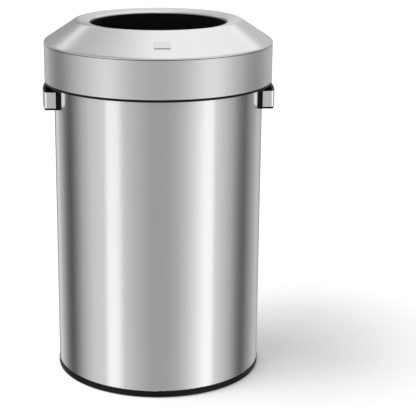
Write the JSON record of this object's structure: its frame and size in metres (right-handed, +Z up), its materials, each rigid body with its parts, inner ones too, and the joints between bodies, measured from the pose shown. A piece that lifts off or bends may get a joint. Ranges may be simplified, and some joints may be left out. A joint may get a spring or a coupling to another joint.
{
  "type": "open-top trash can",
  "caption": "Tall round steel bin on a black foot ring, with a lift-off domed lid round an open throat, two fixed side handles and a lift-out bag ring.",
  "frame": {"origin": "on the floor, under the can's axis", "axes": "+Z up along the can's axis, front with the badge at -Y, handles at -X and +X"},
  "size_m": [0.464, 0.456, 0.724],
  "materials": {
    "can_steel": "brushed round the can, clear",
    "lid_steel": "brushed round the lid, clear",
    "handle_steel": "brushed along the strap",
    "badge_steel": "fine satin, bare",
    "plate_steel": "galvanised, dull",
    "screw_steel": "zinc plated",
    "black_plastic": "fine moulded texture",
    "pad_rubber": "matt"
  },
  "bodies": {
    "can": {"body_shell": "can_steel", "base_ring": "black_plastic", "floor_pads": "pad_rubber", "base_plate": "plate_steel", "base_screws": "screw_steel", "rim_ring": "black_plastic", "right_handle_cover": "handle_steel", "right_handle_core": "black_plastic", "right_handle_backing": "plate_steel", "right_handle_screws": "screw_steel", "left_handle_cover": "handle_steel", "left_handle_core": "black_plastic", "left_handle_backing": "plate_steel", "left_handle_screws": "screw_steel"},
    "bag_ring": {"bag_ring": "black_plastic"},
    "lid": {"lid_band": "lid_steel", "lid_dome": "lid_steel", "lid_frame": "black_plastic", "throat_tube": "black_plastic", "throat_collar": "black_plastic", "throat_screws": "screw_steel", "badge_plate": "badge_steel"}
  },
  "joints": [
    {"name": "bag_ring_lift", "type": "slide", "parent": "can", "child": "bag_ring", "axis": [0, 0, 1], "range_m": [0, 0.1]},
    {"name": "lid_lift", "type": "slide", "parent": "bag_ring", "child": "lid", "axis": [0, 0, 1], "range_m": [0, 0.15]}
  ]
}
